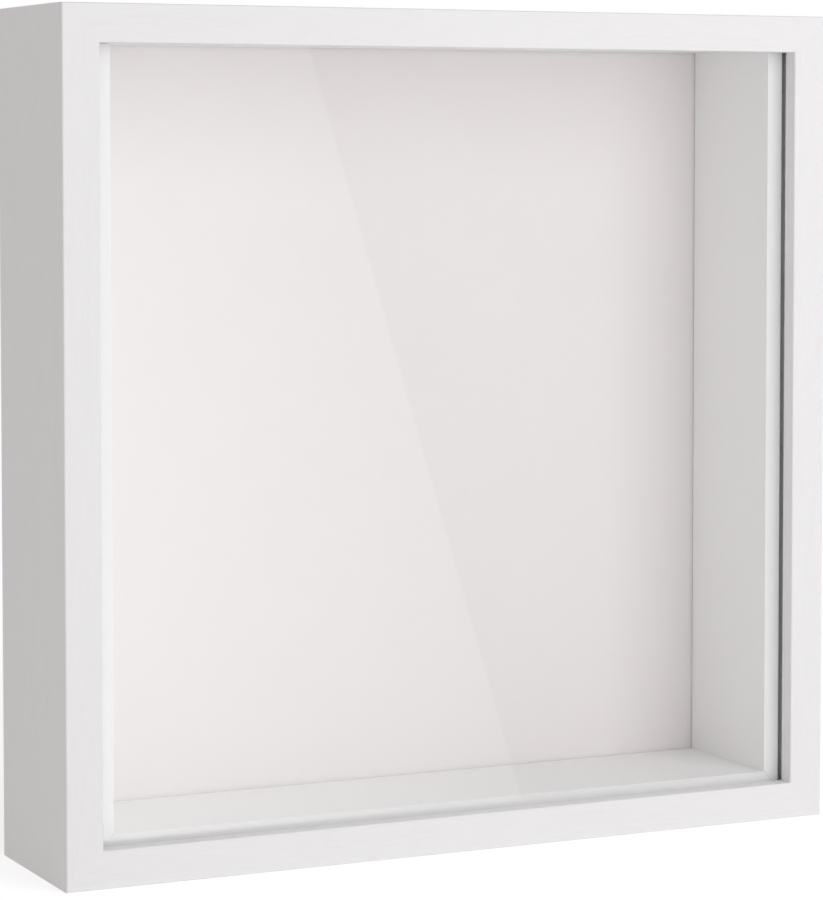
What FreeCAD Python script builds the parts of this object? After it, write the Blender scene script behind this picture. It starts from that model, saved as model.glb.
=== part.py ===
import FreeCAD, Part

import os
import re

import Sketcher

# A deep square shadow box that is loaded from the back. Four mitred rails of
# L section hold a pane of glass behind their front lip. White spacer strips
# keep the lined back board away from the glass, and steel turn buttons on the
# rear faces of the rails latch the board in.
#
# Frame: +X right and +Z up as the front is looked at, +Y to the back.
# The origin is the middle of the underside.

# Driving dimensions in millimetres, one spreadsheet cell each.
SIZES = {
    # rails
    "outer_side": 270.0,
    "frame_depth": 60.0,
    "rail_wall": 9.5,
    "lip_width": 12.0,
    "lip_depth": 6.0,
    "edge_radius": 0.5,
    # glass, liner and back board
    "insert_side": 250.0,
    "glass_thickness": 2.0,
    "liner_thickness": 0.7,
    "board_thickness": 2.5,
    "board_recess": 0.3,
    # spacer strips
    "spacer_thickness": 5.5,
    "spacer_top_thickness": 1.5,
    "spacer_side_gap": 3.0,
    "spacer_front_gap": 0.1,
    "spacer_rear_gap": 0.5,
    # turn buttons and their screws
    "button_station": 70.0,
    "button_reach": 20.0,
    "button_width": 8.0,
    "button_thickness": 1.0,
    "button_gap": 0.1,
    "pivot_clearance": 0.05,
    "screw_radius": 1.5,
    "screw_length": 10.0,
    "screw_head_radius": 3.2,
    "screw_head_height": 1.6,
    "recess_arm": 1.7,
    "recess_half_width": 0.35,
    "recess_depth": 0.9,
    "press_fit": 0.02,
    # steel wedges across the mitres
    "wedge_inset": 2.5,
    "wedge_leg": 5.0,
    "wedge_thickness": 0.5,
    "wedge_depth": 8.0,
    "wedge_sunk": 0.5,
    # sawtooth hanger and its nails
    "hanger_length": 44.0,
    "hanger_height": 8.0,
    "hanger_thickness": 0.8,
    "hanger_rise": 1.4,
    "hanger_foot": 6.0,
    "tooth_width": 2.0,
    "tooth_height": 1.8,
    "nail_station": 19.0,
    "nail_radius": 0.7,
    "nail_length": 8.0,
    "nail_head_radius": 1.7,
    "nail_head_height": 0.7,
    "nail_hole_radius": 0.9,
    # wall bumpers
    "bumper_radius": 4.0,
    "bumper_thickness": 3.5,
    "bumper_round": 0.8,
    "bumper_inset": 18.0,
}

TOOTH_COUNT = 13
BUTTONS_PER_SIDE = 2
CROSS_ARMS = 4
FULL_TURN = 360

# The head of a screw or nail has straight sides up to HEAD_SIDE of its height,
# and above them it tapers to HEAD_TOP of its radius.
HEAD_SIDE = 0.4
HEAD_TOP = 0.6

# How far, in millimetres, an edge may be from the spot where it is looked for.
NEAR = 0.01

# Each side of the frame is the bottom one turned about the middle by this many
# degrees around +Y. COSINE and SINE give the turn's exact whole numbers.
TURNS = {"bottom": 0, "right": -90, "top": 180, "left": 90}
COSINE = {0: 1, 90: 0, -90: 0, 180: -1}
SINE = {0: 0, 90: 1, -90: -1, 180: 0}

# Depths from the front face.
SPACER_FRONT = "lip_depth + glass_thickness + spacer_front_gap"
BOARD_FRONT = "frame_depth - board_recess - board_thickness"
LINER_FRONT = BOARD_FRONT + " - liner_thickness"
SPACER_DEPTH = "(" + LINER_FRONT + " - spacer_rear_gap) - (" + SPACER_FRONT + ")"

HALF = "outer_side / 2"
Y_AXIS = FreeCAD.Vector(0, 1, 0)

doc = FreeCAD.newDocument("shadow_box")
sheet = doc.addObject("Spreadsheet::Sheet", "Dimensions")
for row, (alias, size) in enumerate(SIZES.items(), start=1):
    sheet.set("A%d" % row, alias)
    sheet.set("B%d" % row, str(size))
    sheet.setAlias("B%d" % row, alias)
doc.recompute()

subparts = []


def linked(formula):
    """A formula in the sheet's aliases, as an expression that can be bound."""
    return re.sub(r"[a-z_]+", lambda word: "Dimensions." + word.group(), formula)


def value(formula):
    """The present value of a formula."""
    return float(sheet.evalExpression(linked(formula)))


def bind(piece, prop, formula):
    piece.setExpression(prop, linked(formula))


def place(piece, side="bottom", along="0", depth="0", inward="0"):
    """Put a piece's origin on one side of the frame.

    along runs along the side from its middle, depth goes back from the front
    face, and inward goes from the side's outer face towards the middle.
    """
    turn = TURNS[side]
    inner = "(%s - %s)" % (inward, HALF)
    across = "(%s) * (%d) + %s * (%d)" % (along, COSINE[turn], inner, SINE[turn])
    upright = "%s + (%s) * (%d) + %s * (%d)" % (HALF, along, -SINE[turn], inner, COSINE[turn])
    piece.Placement = FreeCAD.Placement(FreeCAD.Vector(), FreeCAD.Rotation(Y_AXIS, turn))
    bind(piece, "Placement.Base.x", across)
    bind(piece, "Placement.Base.y", "%s - frame_depth / 2" % depth)
    bind(piece, "Placement.Base.z", upright)


def new_body(name):
    body = doc.addObject("PartDesign::Body", name)
    body.Label = name
    subparts.append(body)
    return body


def new_sketch(body, name, role, offset="0"):
    """A sketch on one of the body's origin planes, moved along its normal.

    The normal of XZ_Plane points to the front, so a depth is a negative offset.
    """
    sketch = body.newObject("Sketcher::SketchObject", body.Name + "_" + name)
    plane = next(f for f in body.Origin.OriginFeatures if f.Role == role)
    sketch.AttachmentSupport = [(plane, "")]
    sketch.MapMode = "FlatFace"
    bind(sketch, "AttachmentOffset.Base.z", offset)
    return sketch


def tie(sketch, geometry, point, corner):
    """Fix a sketch point at a pair of formulas, measured from the origin."""
    for kind, formula in zip(("DistanceX", "DistanceY"), corner):
        rule = Sketcher.Constraint(kind, -1, 1, geometry, point, value(formula))
        index = sketch.addConstraint(rule)
        bind(sketch, "Constraints[%d]" % index, formula)


def polygon(sketch, corners):
    """A closed outline through corners given as pairs of formulas."""
    spots = [FreeCAD.Vector(value(x), value(y), 0) for x, y in corners]
    lines = []
    for start, end in zip(spots, spots[1:] + spots[:1]):
        lines.append(sketch.addGeometry(Part.LineSegment(start, end), False))
    for line, following in zip(lines, lines[1:] + lines[:1]):
        sketch.addConstraint(Sketcher.Constraint("Coincident", line, 2, following, 1))
    for line, corner in zip(lines, corners):
        tie(sketch, line, 1, corner)


def rectangle(sketch, left, bottom, right, top):
    polygon(sketch, [(left, bottom), (right, bottom), (right, top), (left, top)])


def circle(sketch, centre, radius):
    middle = FreeCAD.Vector(value(centre[0]), value(centre[1]), 0)
    ring = Part.Circle(middle, FreeCAD.Vector(0, 0, 1), value(radius))
    index = sketch.addGeometry(ring, False)
    tie(sketch, index, 3, centre)
    size = sketch.addConstraint(Sketcher.Constraint("Radius", index, value(radius)))
    bind(sketch, "Constraints[%d]" % size, radius)


def pad(sketch, length, reverse=False, symmetric=False):
    """Add the sketch's outline; reverse goes against the sketch's normal."""
    body = sketch.getParentGeoFeatureGroup()
    feature = body.newObject("PartDesign::Pad", sketch.Name + "_pad")
    feature.Profile = sketch
    feature.Reversed = reverse
    feature.SideType = "Symmetric" if symmetric else "One side"
    bind(feature, "Length", length)
    doc.recompute()
    return feature


def pocket(sketch, length, reverse=False):
    """Cut the sketch's outline; reverse goes along the sketch's normal."""
    body = sketch.getParentGeoFeatureGroup()
    before = body.Shape.Volume
    feature = body.newObject("PartDesign::Pocket", sketch.Name + "_cut")
    feature.Profile = sketch
    feature.Reversed = reverse
    bind(feature, "Length", length)
    doc.recompute()
    if body.Shape.Volume >= before:
        raise RuntimeError(feature.Name + " cuts nothing")
    return feature


def make_rail(side):
    """One mitred rail of L section, lying along X with its outer face down."""
    rail = new_body("frame_rail_" + side)
    section = new_sketch(rail, "section", "YZ_Plane")
    polygon(section, [
        ("0", "0"),
        ("frame_depth", "0"),
        ("frame_depth", "rail_wall"),
        ("lip_depth", "rail_wall"),
        ("lip_depth", "lip_width"),
        ("0", "lip_width"),
    ])
    length = pad(section, "outer_side", symmetric=True)

    # The film that wraps the rail rounds its outer, lip and rear edges a little.
    wrapped = [
        (0, 0),
        (0, value("lip_width")),
        (value("lip_depth"), value("lip_width")),
        (value("frame_depth"), 0),
    ]
    edges = []
    for number, edge in enumerate(length.Shape.Edges, start=1):
        middle = edge.CenterOfMass
        direction = edge.tangentAt(edge.FirstParameter)
        lengthwise = abs(direction.x) > abs(direction.y) + abs(direction.z)
        if lengthwise and any(abs(middle.y - y) + abs(middle.z - z) < NEAR for y, z in wrapped):
            edges.append("Edge%d" % number)
    if len(edges) != len(wrapped):
        raise RuntimeError("the rail's wrapped edges were not found")
    rounding = rail.newObject("PartDesign::Fillet", rail.Name + "_wrap")
    rounding.Base = (length, edges)
    bind(rounding, "Radius", "edge_radius")
    doc.recompute()

    mitres = new_sketch(rail, "mitres", "XZ_Plane")
    wedge_slots = new_sketch(rail, "wedge_slots", "XZ_Plane", "-frame_depth")
    for end in (-1, 1):
        tip = "%d * %s" % (end, HALF)
        polygon(mitres, [
            (tip, "0"),
            (tip, "lip_width"),
            ("%d * (%s - lip_width)" % (end, HALF), "lip_width"),
        ])
        polygon(wedge_slots, wedge_outline(end))
    pocket(mitres, "frame_depth")
    pocket(wedge_slots, "wedge_depth + wedge_sunk", reverse=True)

    pilots = new_sketch(rail, "screw_pilots", "XZ_Plane", "-frame_depth")
    for end in (-1, 1):
        circle(pilots, ("%d * button_station" % end, "rail_wall / 2"), "screw_radius - press_fit")
    pocket(pilots, "screw_length", reverse=True)
    if side == "top":
        nail_pilots = new_sketch(rail, "nail_pilots", "XZ_Plane", "-frame_depth")
        for end in (-1, 1):
            circle(nail_pilots, ("%d * nail_station" % end, "rail_wall / 2"), "nail_radius - press_fit")
        pocket(nail_pilots, "nail_length", reverse=True)
    place(rail, side)


def wedge_outline(end):
    """A right-angled V across the mitre at one end, as a rail on the bottom has it."""
    near = "wedge_inset"
    inner = "(wedge_inset + wedge_thickness)"
    far = "(wedge_inset + wedge_leg)"
    spots = [(near, near), (far, near), (far, inner), (inner, inner), (inner, far), (near, far)]
    return [("%d * (%s - %s)" % (end, HALF, x), z) for x, z in spots]


def make_mitre_wedge(name, side):
    """The steel V driven into the rear of the mitre at the side's +X end."""
    wedge = new_body(name)
    outline = new_sketch(wedge, "outline", "XZ_Plane")
    polygon(outline, wedge_outline(1))
    pad(outline, "wedge_depth", reverse=True)
    place(wedge, side, depth="frame_depth - wedge_sunk - wedge_depth")


def make_spacer(name, corners):
    """A strip that stands between the glass and the liner, seen from the front."""
    strip = new_body(name)
    outline = new_sketch(strip, "outline", "XZ_Plane")
    polygon(outline, corners)
    pad(outline, SPACER_DEPTH, reverse=True)
    bind(strip, "Placement.Base.y", SPACER_FRONT + " - frame_depth / 2")


def make_spacers():
    """The white inner box: three thick strips, and a thin one behind the top lip."""
    outside = "(%s - rail_wall - spacer_side_gap)" % HALF
    inside = "(%s - spacer_thickness)" % outside
    floor = "(rail_wall + spacer_thickness)"
    ceiling = "(outer_side - rail_wall - spacer_top_thickness)"
    make_spacer("spacer_bottom", [
        ("-1 * " + outside, "rail_wall"),
        (outside, "rail_wall"),
        (inside, floor),
        ("-1 * " + inside, floor),
    ])
    make_spacer("spacer_top", [
        ("-1 * " + outside, ceiling),
        (outside, ceiling),
        (outside, "outer_side - rail_wall"),
        ("-1 * " + outside, "outer_side - rail_wall"),
    ])
    for side, sign in (("left", -1), ("right", 1)):
        make_spacer("spacer_" + side, [
            ("%d * %s" % (sign, outside), "rail_wall"),
            ("%d * %s" % (sign, outside), ceiling),
            ("%d * %s" % (sign, inside), ceiling),
            ("%d * %s" % (sign, inside), floor),
        ])


def make_sheet(name, thickness, depth):
    """A square sheet that lies in the rabbet, such as the glass."""
    pane = doc.addObject("Part::Box", name)
    pane.Label = name
    bind(pane, "Length", "insert_side")
    bind(pane, "Width", thickness)
    bind(pane, "Height", "insert_side")
    bind(pane, "Placement.Base.x", "-insert_side / 2")
    bind(pane, "Placement.Base.y", depth + " - frame_depth / 2")
    bind(pane, "Placement.Base.z", "(outer_side - insert_side) / 2")
    subparts.append(pane)


def make_turn_button(name, side, along):
    """A flat steel latch with round ends that lies along its rail at rest."""
    button = new_body(name)
    blank = new_sketch(button, "blank", "XZ_Plane")
    half_width = "button_width / 2"
    rectangle(blank, "-1 * button_reach + " + half_width, "-1 * " + half_width, "0", half_width)
    pad(blank, "button_thickness", reverse=True)
    ends = (("pivot_end", "0"), ("tip_end", "-1 * button_reach + " + half_width))
    for label, centre in ends:
        disc = new_sketch(button, label, "XZ_Plane")
        circle(disc, (centre, "0"), half_width)
        pad(disc, "button_thickness", reverse=True)
    hole = new_sketch(button, "pivot_hole", "XZ_Plane")
    circle(hole, ("0", "0"), "screw_radius + pivot_clearance")
    pocket(hole, "button_thickness")
    place(button, side, along, "frame_depth + button_gap", "rail_wall / 2")


def make_headed_pin(name, shank, length, head, head_height, grip):
    """A screw or nail along Y: its point to the front, its head behind the grip."""
    pin = new_body(name)
    profile = new_sketch(pin, "profile", "XY_Plane")
    polygon(profile, [
        ("0", "-1 * %s" % length),
        (shank, "-1 * %s + 2 * %s" % (length, shank)),
        (shank, grip),
        (head, grip),
        (head, "%s + %g * %s" % (grip, HEAD_SIDE, head_height)),
        ("%g * %s" % (HEAD_TOP, head), "%s + %s" % (grip, head_height)),
        ("0", "%s + %s" % (grip, head_height)),
    ])
    turned = pin.newObject("PartDesign::Revolution", name + "_turned")
    turned.Profile = profile
    turned.ReferenceAxis = (profile, ["V_Axis"])
    turned.Angle = FULL_TURN
    doc.recompute()
    return pin


def make_button_screw(name, side, along):
    """The pan-head screw that a turn button swings on."""
    grip = "(button_thickness + 2 * button_gap)"
    screw = make_headed_pin(
        name, "screw_radius", "screw_length", "screw_head_radius", "screw_head_height", grip)
    top = "%s + screw_head_height" % grip
    cross = new_sketch(screw, "recess", "XZ_Plane", "-1 * (%s)" % top)
    arm = "recess_arm"
    half = "recess_half_width"
    quarter = [(arm, "-1 * " + half), (arm, half), (half, half)]
    corners = []
    for _ in range(CROSS_ARMS):
        corners += quarter
        quarter = [("-1 * (%s)" % z, x) for x, z in quarter]
    polygon(cross, corners)
    pocket(cross, "recess_depth", reverse=True)
    place(screw, side, along, "frame_depth", "rail_wall / 2")


def make_hanger():
    """A bridge of thin steel on the top rail, with teeth for the wall hook."""
    hanger = new_body("sawtooth_hanger")
    bridge = new_sketch(hanger, "bridge", "XY_Plane")
    end = "hanger_length / 2"
    bend = "(hanger_length / 2 - hanger_foot)"
    crown = "(hanger_length / 2 - hanger_foot - hanger_rise)"
    inner = "hanger_rise"
    outer = "(hanger_rise + hanger_thickness)"
    right_half = [
        (crown, inner),
        (bend, "0"),
        (end, "0"),
        (end, "hanger_thickness"),
        (bend, "hanger_thickness"),
        (crown, outer),
    ]
    left_half = [("-1 * " + x, y) for x, y in reversed(right_half)]
    polygon(bridge, right_half + left_half)
    pad(bridge, "hanger_height", symmetric=True)

    # The hanger is turned over with the top rail, so its lower edge is at +Z here.
    tooth = new_sketch(hanger, "tooth", "XZ_Plane", "-1 * " + outer)
    first = "(-%d * tooth_width / 2)" % (TOOTH_COUNT - 1)
    edge = "hanger_height / 2"
    polygon(tooth, [
        (first + " - tooth_width / 2", edge),
        (first, edge + " - tooth_height"),
        (first + " + tooth_width / 2", edge),
    ])
    notch = pocket(tooth, "hanger_thickness", reverse=True)
    row = hanger.newObject("PartDesign::LinearPattern", "teeth")
    row.Originals = [notch]
    row.Direction = (tooth, ["H_Axis"])
    row.Occurrences = TOOTH_COUNT
    bind(row, "Length", "%d * tooth_width" % (TOOTH_COUNT - 1))
    hanger.Tip = row
    doc.recompute()

    holes = new_sketch(hanger, "nail_holes", "XZ_Plane", "-1 * hanger_thickness")
    for sign in (-1, 1):
        circle(holes, ("%d * nail_station" % sign, "0"), "nail_hole_radius")
    pocket(holes, "hanger_thickness", reverse=True)
    place(hanger, "top", depth="frame_depth", inward="rail_wall / 2")


def make_bumper(name, side, along):
    """A soft round pad that keeps the hardware off the wall or table."""
    bumper = new_body(name)
    outline = new_sketch(bumper, "outline", "XZ_Plane")
    circle(outline, ("0", "0"), "bumper_radius")
    disc = pad(outline, "bumper_thickness", reverse=True)
    rim = None
    for number, edge in enumerate(disc.Shape.Edges, start=1):
        if abs(edge.CenterOfMass.y - value("bumper_thickness")) < NEAR:
            rim = "Edge%d" % number
    rounding = bumper.newObject("PartDesign::Fillet", name + "_round")
    rounding.Base = (disc, [rim])
    bind(rounding, "Radius", "bumper_round")
    doc.recompute()
    place(bumper, side, along, "frame_depth", "rail_wall / 2")


for side in TURNS:
    make_rail(side)

# Each wedge is named after the corner that its side's +X end makes.
corner_names = {"bottom": "bottom_right", "right": "top_right", "top": "top_left", "left": "bottom_left"}
for side, corner in corner_names.items():
    make_mitre_wedge("mitre_wedge_" + corner, side)

make_sheet("glass_pane", "glass_thickness", "lip_depth")
make_spacers()
make_sheet("backing_liner", "liner_thickness", LINER_FRONT)
make_sheet("back_board", "board_thickness", BOARD_FRONT)

for side in TURNS:
    for number in range(1, BUTTONS_PER_SIDE + 1):
        station = "%d * button_station" % (2 * number - 1 - BUTTONS_PER_SIDE)
        make_turn_button("turn_button_%s_%d" % (side, number), side, station)
        make_button_screw("button_screw_%s_%d" % (side, number), side, station)

make_hanger()
for number, sign in enumerate((-1, 1), start=1):
    nail = make_headed_pin(
        "hanger_nail_%d" % number,
        "nail_radius", "nail_length", "nail_head_radius", "nail_head_height", "hanger_thickness")
    place(nail, "top", "%d * nail_station" % sign, "frame_depth", "rail_wall / 2")

for side in ("bottom", "top"):
    for number, sign in enumerate((-1, 1), start=1):
        station = "%d * (%s - bumper_inset)" % (sign, HALF)
        make_bumper("wall_bumper_%s_%d" % (side, number), side, station)

doc.recompute()

for item in doc.Objects:
    if {"Invalid", "Error"} & set(item.State):
        raise RuntimeError("%s is %s" % (item.Name, item.State))
for piece in subparts:
    if piece.Shape.isNull() or not piece.Shape.isValid():
        raise RuntimeError(piece.Label + " has no valid shape")

os.makedirs("parts", exist_ok=True)
for piece in subparts:
    piece.Shape.exportStep(os.path.join("parts", piece.Label + ".step"))
    box = piece.Shape.BoundBox
    print("%-28s %10.1f mm3  x %7.2f %7.2f  y %6.2f %6.2f  z %7.2f %7.2f" % (
        piece.Label, piece.Shape.Volume, box.XMin, box.XMax, box.YMin, box.YMax, box.ZMin, box.ZMax))
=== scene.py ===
import math

import bpy
from mathutils import Matrix, Vector


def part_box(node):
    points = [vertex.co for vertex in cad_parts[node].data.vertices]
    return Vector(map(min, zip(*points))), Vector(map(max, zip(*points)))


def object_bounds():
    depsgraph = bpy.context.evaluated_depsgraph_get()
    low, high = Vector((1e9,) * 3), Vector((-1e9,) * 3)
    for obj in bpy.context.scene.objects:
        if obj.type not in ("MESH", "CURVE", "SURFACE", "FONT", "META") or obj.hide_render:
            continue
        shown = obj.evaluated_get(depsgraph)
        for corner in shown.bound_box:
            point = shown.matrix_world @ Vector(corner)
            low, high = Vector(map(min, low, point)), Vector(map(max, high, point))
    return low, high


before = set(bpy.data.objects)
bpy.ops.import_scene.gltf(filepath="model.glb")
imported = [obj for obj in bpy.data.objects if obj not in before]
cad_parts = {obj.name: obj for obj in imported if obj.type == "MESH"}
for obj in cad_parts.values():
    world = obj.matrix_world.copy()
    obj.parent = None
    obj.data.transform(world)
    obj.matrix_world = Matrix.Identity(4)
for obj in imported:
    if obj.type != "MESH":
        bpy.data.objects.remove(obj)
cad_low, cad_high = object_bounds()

# A white shadow box on a white table. The CAD nodes keep their shapes. This
# script gives them their materials and soft edges, and sets the studio.
# Lengths are in metres; +X is right and +Y is back as the front is looked at.

MM = 0.001
WHITE = (1, 1, 1, 1)

SIDES = ("bottom", "right", "top", "left")

# ---------------------------------------------------------------- sizes
# The bottom rail is as long as the box is wide and high, and as high as the lip.
rail_low, rail_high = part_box("frame_rail_bottom")
REAR = rail_high.y
HALF = rail_high.x
LIP = rail_high.z
MIDDLE = Vector((0, (rail_low.y + REAR) / 2, HALF))
GLASS_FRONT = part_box("glass_pane")[0].y


# ---------------------------------------------------------------- node helpers
def new_tree(name):
    """An empty node tree of a new material."""
    material = bpy.data.materials.new(name)
    material.use_nodes = True
    material.node_tree.nodes.clear()
    return material, material.node_tree


def add(tree, kind, inputs=None, **settings):
    """Adds a node. An input that is a socket is linked, and any other is set."""
    node = tree.nodes.new(kind)
    for name, setting in settings.items():
        setattr(node, name, setting)
    for name, given in (inputs or {}).items():
        if isinstance(given, bpy.types.NodeSocket):
            tree.links.new(given, node.inputs[name])
        else:
            node.inputs[name].default_value = given
    return node


def maths(tree, operation, *terms):
    """The result of a Math node. A term is a socket or a number."""
    node = add(tree, "ShaderNodeMath", operation=operation)
    for socket, term in zip(node.inputs, terms):
        if isinstance(term, bpy.types.NodeSocket):
            tree.links.new(term, socket)
        else:
            socket.default_value = term
    return node.outputs["Value"]


def place_in_part(tree):
    """Where a surface point is in the part's own frame, in metres."""
    return add(tree, "ShaderNodeTexCoord").outputs["Object"]


def noise(tree, size, stretch=(1, 1, 1), detail=3.0, roughness=0.5):
    """Noise from 0 to 1 whose lumps are about size metres across."""
    mapping = add(tree, "ShaderNodeMapping", {
        "Vector": place_in_part(tree),
        "Scale": [1 / (size * along) for along in stretch]})
    texture = add(tree, "ShaderNodeTexNoise", {
        "Vector": mapping.outputs["Vector"],
        "Scale": 1.0,
        "Detail": detail,
        "Roughness": roughness})
    return texture.outputs["Fac"]


# Nearly all of a noise lies between these two values.
NOISE_LOW = 0.3
NOISE_HIGH = 0.7


def spread(tree, amount, low, high):
    """Turns a noise into a number that runs from low to high."""
    span = add(tree, "ShaderNodeMapRange", {
        "Value": amount,
        "From Min": NOISE_LOW,
        "From Max": NOISE_HIGH,
        "To Min": low,
        "To Max": high})
    return span.outputs["Result"]


def blend_colours(tree, amount, first, second):
    """The colour that goes from first to second as the amount, a socket, goes from 0 to 1.

    A Mix node's sockets share their names, so the ones for colours go by number.
    """
    mix = add(tree, "ShaderNodeMix", data_type="RGBA")
    factor, start, end = mix.inputs[0], mix.inputs[6], mix.inputs[7]
    tree.links.new(amount, factor)
    for socket, colour in ((start, first), (end, second)):
        if isinstance(colour, bpy.types.NodeSocket):
            tree.links.new(colour, socket)
        else:
            socket.default_value = (*colour, 1.0)
    return mix.outputs[2]


def mottled(tree, noise_value, colours):
    """A colour that goes from the first of two colours to the second with a noise."""
    return blend_colours(tree, spread(tree, noise_value, low=0.0, high=1.0), *colours)


def bump(tree, height, strength, distance):
    """The normal of a surface whose relief is distance metres from its lowest to its highest."""
    node = add(tree, "ShaderNodeBump", {"Height": height, "Strength": strength, "Distance": distance})
    return node.outputs["Normal"]


def is_mirrored(tree):
    """1 for a ray that something has mirrored on its way, and 0 for any other."""
    path = add(tree, "ShaderNodeLightPath")
    return maths(tree, "GREATER_THAN", path.outputs["Glossy Depth"], 0.5)


def is_seen(tree):
    """1 for a ray that comes to the eye straight or through glass, and 0 for any other."""
    path = add(tree, "ShaderNodeLightPath")
    straight = maths(tree, "SUBTRACT", 1.0, is_mirrored(tree))
    through = maths(tree, "MULTIPLY", path.outputs["Is Transmission Ray"], straight)
    return maths(tree, "MAXIMUM", path.outputs["Is Camera Ray"], through)


def finish_material(material, tree, surface):
    """Gives a material its surface, and gives the material back."""
    add(tree, "ShaderNodeOutputMaterial", {"Surface": surface})
    return material


# ---------------------------------------------------------------- materials
# Each pair of colours is the two that a material's finest mottling goes between.
RAIL_FILM = ((0.845, 0.832, 0.838), (0.885, 0.872, 0.878))
SPACER_FILM = ((0.918, 0.905, 0.910), (0.930, 0.917, 0.922))
RAW_BOARD = ((0.33, 0.22, 0.13), (0.50, 0.36, 0.23))
LINER_CARD = ((0.898, 0.848, 0.850), (0.918, 0.868, 0.870))
LINER_CLOUD = (0.92, 0.872, 0.874)
HARDBOARD = ((0.17, 0.095, 0.05), (0.33, 0.21, 0.125))
HARDBOARD_CLOUD = (0.30, 0.19, 0.115)
ZINC = ((0.50, 0.50, 0.51), (0.66, 0.665, 0.68))
RUBBER = ((0.62, 0.62, 0.61), (0.74, 0.74, 0.73))

RAIL_RELIEF = 0.04 * MM
SPACER_RELIEF = 0.015 * MM
RAW_BOARD_ROUGHNESS = 0.85

# The film turns in onto the rear faces by about this much, give or take the waver.
# A point counts as on a rear face when it is no deeper than the tolerance.
FILM_TURN_IN = 1.6 * MM
FILM_WAVER = 0.25 * MM
REAR_TOLERANCE = 0.05 * MM


def raw_board_colour(tree):
    """Bare fibreboard: fine fibres and darker specks."""
    fibres = noise(tree, size=0.5 * MM, detail=6.0, roughness=0.7)
    return mottled(tree, fibres, RAW_BOARD)


def bare_share(tree):
    """1 where the film ends and bare board shows, and 0 on the film."""
    spot = add(tree, "ShaderNodeSeparateXYZ", {"Vector": place_in_part(tree)})
    across = maths(tree, "ABSOLUTE", spot.outputs["X"])
    upright = maths(tree, "ABSOLUTE", maths(tree, "SUBTRACT", spot.outputs["Z"], HALF))
    inward = maths(tree, "SUBTRACT", HALF, maths(tree, "MAXIMUM", across, upright))
    waver = spread(tree, noise(tree, size=12 * MM), low=-FILM_WAVER, high=FILM_WAVER)
    past_turn_in = maths(tree, "GREATER_THAN", maths(tree, "ADD", inward, waver), FILM_TURN_IN)
    on_rear = maths(tree, "GREATER_THAN", spot.outputs["Y"], REAR - REAR_TOLERANCE)
    return maths(tree, "MULTIPLY", past_turn_in, on_rear)


def make_film(name, stretch, colours, relief, wrapped):
    """Satin white film on fibreboard, with a faint pressed grain along stretch.

    Where wrapped is true the film stops a little way in on the rear face, and
    the bare board shows there.
    """
    material, tree = new_tree(name)
    slight_stretch = [math.sqrt(along) for along in stretch]
    grain = noise(tree, size=0.55 * MM, stretch=stretch, detail=5.0, roughness=0.6)
    clouds = noise(tree, size=9 * MM, stretch=slight_stretch)
    grained = mottled(tree, grain, colours)
    colour = blend_colours(tree, spread(tree, clouds, low=0.0, high=0.55), grained, colours[1])
    height = maths(tree, "ADD", grain, maths(tree, "MULTIPLY", clouds, 0.6))
    roughness = spread(tree, grain, low=0.40, high=0.50)
    if wrapped:
        bare = bare_share(tree)
        colour = blend_colours(tree, bare, colour, raw_board_colour(tree))
        bare_roughness = maths(tree, "MULTIPLY", bare, RAW_BOARD_ROUGHNESS)
        roughness = maths(tree, "MAXIMUM", roughness, bare_roughness)
    shader = add(tree, "ShaderNodeBsdfPrincipled", {
        "Base Color": colour,
        "Roughness": roughness,
        "IOR": 1.46,
        "Specular IOR Level": 0.4,
        "Normal": bump(tree, height, strength=0.25, distance=relief)})
    return finish_material(material, tree, shader.outputs["BSDF"])


def make_liner():
    """Smooth warm white card."""
    material, tree = new_tree("liner_card")
    fibres = noise(tree, size=0.8 * MM, detail=5.0, roughness=0.65)
    clouds = noise(tree, size=25 * MM, detail=2.0)
    paper = mottled(tree, fibres, LINER_CARD)
    tone = blend_colours(tree, spread(tree, clouds, low=0.0, high=0.5), paper, LINER_CLOUD)
    shader = add(tree, "ShaderNodeBsdfPrincipled", {
        "Base Color": tone,
        "Roughness": spread(tree, fibres, low=0.62, high=0.75),
        "IOR": 1.45,
        "Specular IOR Level": 0.3,
        "Normal": bump(tree, fibres, strength=0.15, distance=0.03 * MM)})
    return finish_material(material, tree, shader.outputs["BSDF"])


def make_glass():
    """Clear float glass. Light for shading passes straight through it."""
    material, tree = new_tree("clear_glass")
    waviness = noise(tree, size=60 * MM, detail=1.0)
    glass = add(tree, "ShaderNodeBsdfPrincipled", {
        "Base Color": (0.996, 1.0, 0.998, 1.0),
        "Roughness": 0.0,
        "IOR": 1.5,
        "Transmission Weight": 1.0,
        "Normal": bump(tree, waviness, strength=0.05, distance=0.02 * MM)})
    clear = add(tree, "ShaderNodeBsdfTransparent", {"Color": (0.982, 0.986, 0.984, 1.0)})
    path = add(tree, "ShaderNodeLightPath")
    soft = maths(tree, "MAXIMUM", path.outputs["Is Shadow Ray"], path.outputs["Is Diffuse Ray"])
    join = add(tree, "ShaderNodeMixShader", {0: soft, 1: glass.outputs["BSDF"], 2: clear.outputs["BSDF"]})
    return finish_material(material, tree, join.outputs["Shader"])


def make_hardboard():
    """The smooth brown side of hardboard, with darker fibres and faint mottling."""
    material, tree = new_tree("hardboard")
    fibres = noise(tree, size=0.9 * MM, stretch=(1.0, 1.0, 2.5), detail=7.0, roughness=0.75)
    clouds = noise(tree, size=30 * MM)
    brown = mottled(tree, fibres, HARDBOARD)
    tone = blend_colours(tree, spread(tree, clouds, low=0.0, high=0.5), brown, HARDBOARD_CLOUD)
    shader = add(tree, "ShaderNodeBsdfPrincipled", {
        "Base Color": tone,
        "Roughness": spread(tree, fibres, low=0.45, high=0.62),
        "Normal": bump(tree, fibres, strength=0.3, distance=0.05 * MM)})
    return finish_material(material, tree, shader.outputs["BSDF"])


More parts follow.
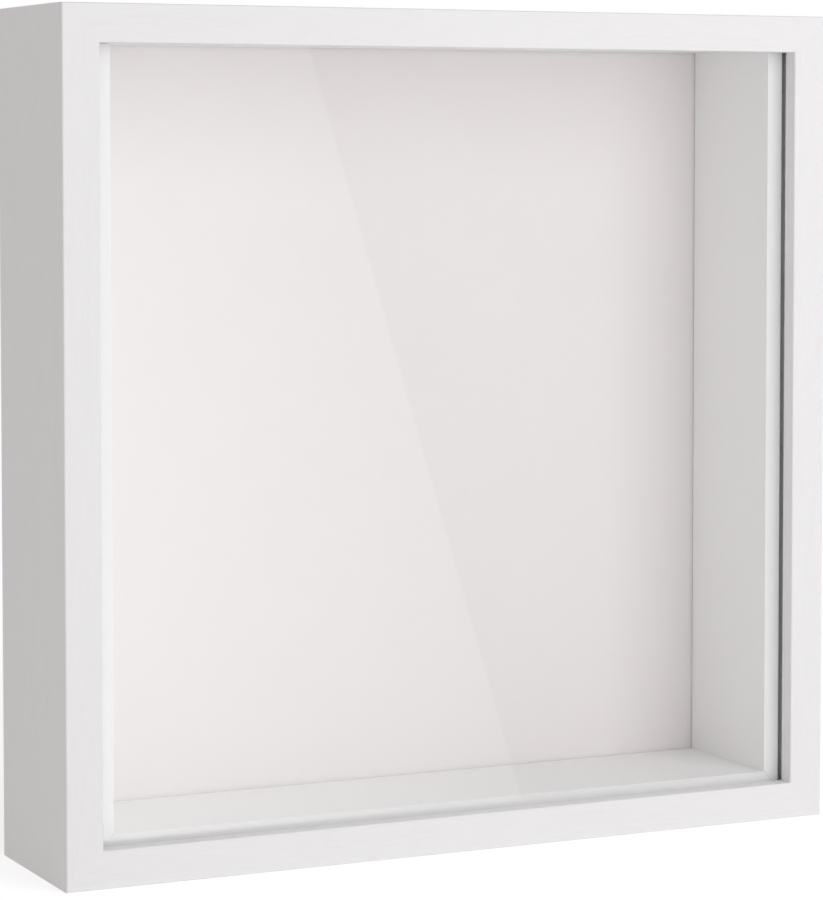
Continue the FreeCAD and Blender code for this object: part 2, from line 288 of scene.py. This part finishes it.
def make_zinc():
    """Bright zinc plate on steel, a little uneven in tone and polish."""
    material, tree = new_tree("zinc_steel")
    lines = noise(tree, size=0.12 * MM, stretch=(12.0, 1.0, 1.0), detail=4.0, roughness=0.6)
    clouds = noise(tree, size=2.5 * MM, detail=4.0)
    shader = add(tree, "ShaderNodeBsdfPrincipled", {
        "Base Color": mottled(tree, clouds, ZINC),
        "Metallic": 1.0,
        "Roughness": spread(tree, lines, low=0.24, high=0.38),
        "Normal": bump(tree, lines, strength=0.2, distance=0.01 * MM)})
    return finish_material(material, tree, shader.outputs["BSDF"])


def make_rubber():
    """Soft milky rubber with a fine matt bloom."""
    material, tree = new_tree("bumper_rubber")
    bloom = noise(tree, size=0.6 * MM, detail=4.0)
    shader = add(tree, "ShaderNodeBsdfPrincipled", {
        "Base Color": mottled(tree, bloom, RUBBER),
        "Roughness": spread(tree, bloom, low=0.45, high=0.6),
        "Subsurface Weight": 0.3,
        "Subsurface Radius": (2 * MM, 2 * MM, 2 * MM),
        "Subsurface Scale": 1.0,
        "Normal": bump(tree, bloom, strength=0.2, distance=0.05 * MM)})
    return finish_material(material, tree, shader.outputs["BSDF"])


# ---------------------------------------------------------------- CAD nodes
# How far the rounding of each kind of edge reaches.
SPACER_EDGE = 0.25 * MM
SHEET_EDGE = 0.2 * MM
BUTTON_EDGE = 0.15 * MM
FASTENER_EDGE = 0.08 * MM

SHARP_ANGLE = math.radians(40)
EDGE_SEGMENTS = 3
SAME_POINT = 0.001 * MM

# The grain is this much longer along a rail or a strip than across it.
GRAIN_ALONG = 14
ACROSS_THE_BOX = (GRAIN_ALONG, 1, 1)
UP_THE_BOX = (1, 1, GRAIN_ALONG)


def dress(name, material, edge=0.0):
    """Gives a CAD node its material and, where edge isn't 0, small rounded edges."""
    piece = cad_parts[name]
    piece.data.materials.clear()
    piece.data.materials.append(material)
    if edge:
        weld = piece.modifiers.new("joined_faces", "WELD")
        weld.merge_threshold = SAME_POINT
        soft = piece.modifiers.new("soft_edges", "BEVEL")
        soft.width = edge
        soft.segments = EDGE_SEGMENTS
        soft.limit_method = "ANGLE"
        soft.angle_limit = SHARP_ANGLE


def dress_sides():
    """The rails and the strips of the inner box, each with its grain along its length."""
    for side in SIDES:
        grain = ACROSS_THE_BOX if side in ("bottom", "top") else UP_THE_BOX
        film = make_film("white_film_" + side, grain, RAIL_FILM, RAIL_RELIEF, wrapped=True)
        dress("frame_rail_" + side, film)
        lining = make_film("spacer_film_" + side, grain, SPACER_FILM, SPACER_RELIEF, wrapped=False)
        dress("spacer_" + side, lining, SPACER_EDGE)


def dress_sheets():
    """The glass, the liner and the back board."""
    dress("glass_pane", make_glass(), SHEET_EDGE)
    dress("backing_liner", make_liner())
    dress("back_board", make_hardboard(), SHEET_EDGE)


def dress_hardware():
    """The steel pieces and the rubber pads on the rear faces."""
    zinc = make_zinc()
    rubber = make_rubber()
    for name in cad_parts:
        if name.startswith("turn_button"):
            dress(name, zinc, BUTTON_EDGE)
        elif name.startswith(("button_screw", "hanger_nail", "sawtooth")):
            dress(name, zinc, FASTENER_EDGE)
        elif name.startswith("mitre_wedge"):
            dress(name, zinc)
        elif name.startswith("wall_bumper"):
            dress(name, rubber)


# ---------------------------------------------------------------- studio
# The camera stands in front, to the left of the box and above its middle.
EYE = Vector((-0.4616, -0.9552, 0.2274))
HEADING = math.radians(25.57)
TILT_DOWN = math.radians(3.17)
LENS = 129.9
SHIFT = -0.14

# The light all round. Its strength swings about the mean, from the dark side to
# the bright side. Its tint is warm on the dark side and fades to plain halfway.
BRIGHT_SIDE = Vector((0.6, -0.8, 0.0))
LIGHT_MEAN = 0.56
LIGHT_SWING = 0.14
DARK_SIDE_TINT = (1.0, 0.93, 0.915)
PLAIN_TINT = (1.0, 1.0, 1.0)

# The softbox that stands in front, a little to the right and above.
KEY_PLACE = Vector((0.34, -0.82, 0.42))
KEY_WIDTH = 0.6
KEY_HEIGHT = 0.8
KEY_POWER = 2.35

# The table top's half side, its grey, the glow that lights the box, and the shine
# that makes it lighter still to the eye.
TABLE_HALF = 8.0
TABLE_GREY = 0.80
TABLE_GLOW = 0.27
TABLE_SHINE = 0.25

# The card that the glass mirrors. The image of its straight edge crosses the
# opening from CARD_TOP to CARD_FOOT, in halves of the opening's width from the
# middle. The edge is CARD_REACH from the glass. The card's light is CARD_GLOW at
# the edge and gains CARD_RISE with each metre from there, up to CARD_LIMIT.
CARD_TOP = -0.42
CARD_FOOT = 0.20
CARD_REACH = 2.5
CARD_WIDTH = 1.6
CARD_HALF_HEIGHT = 2.0
CARD_GLOW = 0.36
CARD_RISE = 3.0
CARD_LIMIT = 1.6


def link(piece):
    """Puts an object in the scene."""
    bpy.context.scene.collection.objects.link(piece)


def make_flat(name, corners, material):
    """A mesh of one face in the scene, with its material."""
    mesh = bpy.data.meshes.new(name)
    mesh.from_pydata(corners, [], [(0, 1, 2, 3)])
    mesh.materials.append(material)
    flat = bpy.data.objects.new(name, mesh)
    link(flat)
    return flat


def add_camera():
    """The camera, level from side to side and tilted a little down."""
    data = bpy.data.cameras.new("camera")
    data.lens = LENS
    data.shift_y = SHIFT
    camera = bpy.data.objects.new("camera", data)
    camera.location = EYE
    camera.rotation_euler = (math.pi / 2 - TILT_DOWN, 0, -HEADING)
    link(camera)
    bpy.context.scene.camera = camera


def add_key():
    """A softbox aimed at the middle of the box. Only surfaces that scatter light show it."""
    data = bpy.data.lights.new("key", "AREA")
    data.shape = "RECTANGLE"
    data.size = KEY_WIDTH
    data.size_y = KEY_HEIGHT
    data.energy = KEY_POWER
    key = bpy.data.objects.new("key", data)
    key.location = KEY_PLACE
    key.rotation_euler = (MIDDLE - KEY_PLACE).to_track_quat("-Z", "Y").to_euler()
    link(key)
    key.visible_camera = False
    key.visible_glossy = False
    key.visible_transmission = False


def add_world():
    """White to the eye. As a light it is a soft tent, brightest at the front right."""
    world = bpy.data.worlds.new("studio")
    bpy.context.scene.world = world
    world.use_nodes = True
    tree = world.node_tree
    tree.nodes.clear()
    white = add(tree, "ShaderNodeBackground", {"Color": WHITE, "Strength": 1.0})
    way = add(tree, "ShaderNodeTexCoord").outputs["Generated"]
    product = add(tree, "ShaderNodeVectorMath", {0: way, 1: BRIGHT_SIDE}, operation="DOT_PRODUCT")
    lean = product.outputs["Value"]
    strength = maths(tree, "MULTIPLY_ADD", lean, LIGHT_SWING, LIGHT_MEAN)
    tint = blend_colours(tree, maths(tree, "ADD", lean, 1.0), DARK_SIDE_TINT, PLAIN_TINT)
    light = add(tree, "ShaderNodeBackground", {"Color": tint, "Strength": strength})
    join = add(tree, "ShaderNodeMixShader", {
        0: is_seen(tree), 1: light.outputs["Background"], 2: white.outputs["Background"]})
    add(tree, "ShaderNodeOutputWorld", {"Surface": join.outputs["Shader"]})


def make_table_top():
    """A matt white surface that is clear to mirrored rays."""
    material, tree = new_tree("white_table")
    shader = add(tree, "ShaderNodeBsdfPrincipled", {
        "Base Color": (TABLE_GREY, TABLE_GREY, TABLE_GREY, 1.0),
        "Roughness": spread(tree, noise(tree, 20 * MM), 0.7, 0.8),
        "Emission Color": WHITE,
        "Emission Strength": maths(tree, "MULTIPLY_ADD", is_seen(tree), TABLE_SHINE, TABLE_GLOW)})
    clear = add(tree, "ShaderNodeBsdfTransparent", {"Color": WHITE})
    join = add(tree, "ShaderNodeMixShader", {
        0: is_mirrored(tree), 1: shader.outputs["BSDF"], 2: clear.outputs["BSDF"]})
    return finish_material(material, tree, join.outputs["Shader"])


def add_floor():
    """A wide white table top, which mirrors don't show."""
    half = TABLE_HALF
    corners = [(-half, -half, 0), (half, -half, 0), (half, half, 0), (-half, half, 0)]
    floor = make_flat("floor", corners, make_table_top())
    floor.location.z = cad_low.z


def mirrored_in_glass(spot, reach):
    """The point, reach metres from spot, that the camera sees mirrored at spot on the glass."""
    ray = (spot - EYE).normalized()
    ray.y = -ray.y
    return spot + ray * reach


def make_card_glow():
    """Light for mirrored rays only, which grows steadily away from the card's edge."""
    material, tree = new_tree("card_glow")
    spot = add(tree, "ShaderNodeSeparateXYZ", {"Vector": place_in_part(tree)})
    rise = maths(tree, "MULTIPLY_ADD", spot.outputs["X"], CARD_RISE, CARD_GLOW)
    strength = maths(tree, "MULTIPLY", maths(tree, "MINIMUM", rise, CARD_LIMIT), is_mirrored(tree))
    glow = add(tree, "ShaderNodeEmission", {"Strength": strength})
    clear = add(tree, "ShaderNodeBsdfTransparent", {"Color": WHITE})
    both = add(tree, "ShaderNodeAddShader", {0: glow.outputs["Emission"], 1: clear.outputs["BSDF"]})
    return finish_material(material, tree, both.outputs["Shader"])


def add_reflected_card():
    """A sheet of diffuser in front whose straight edge shows as a diagonal in the glass.

    It is only seen in reflections. Its own x axis runs away from the edge, and
    its own y axis runs up along the edge.
    """
    opening = HALF - LIP
    top = Vector((CARD_TOP * opening, GLASS_FRONT, 2 * HALF - LIP))
    foot = Vector((CARD_FOOT * opening, GLASS_FRONT, LIP))
    upper, lower = mirrored_in_glass(top, CARD_REACH), mirrored_in_glass(foot, CARD_REACH)
    up = (upper - lower).normalized()
    facing = (MIDDLE - (upper + lower) / 2).normalized()
    away = up.cross(facing).normalized()
    if away.x > 0:
        away = -away
    turn = Matrix((away, up, away.cross(up))).transposed().to_4x4()
    wide, tall = CARD_WIDTH, CARD_HALF_HEIGHT
    corners = [(0, -tall, 0), (wide, -tall, 0), (wide, tall, 0), (0, tall, 0)]
    card = make_flat("card", corners, make_card_glow())
    card.matrix_world = Matrix.Translation((upper + lower) / 2) @ turn
    card.visible_camera = False
    card.visible_diffuse = False
    card.visible_shadow = False


def set_studio():
    """The light, the table, the card and the camera."""
    scene = bpy.context.scene
    scene.view_settings.view_transform = "Standard"
    scene.view_settings.look = "None"
    add_world()
    add_floor()
    add_key()
    add_reflected_card()
    add_camera()


dress_sides()
dress_sheets()
dress_hardware()
set_studio()
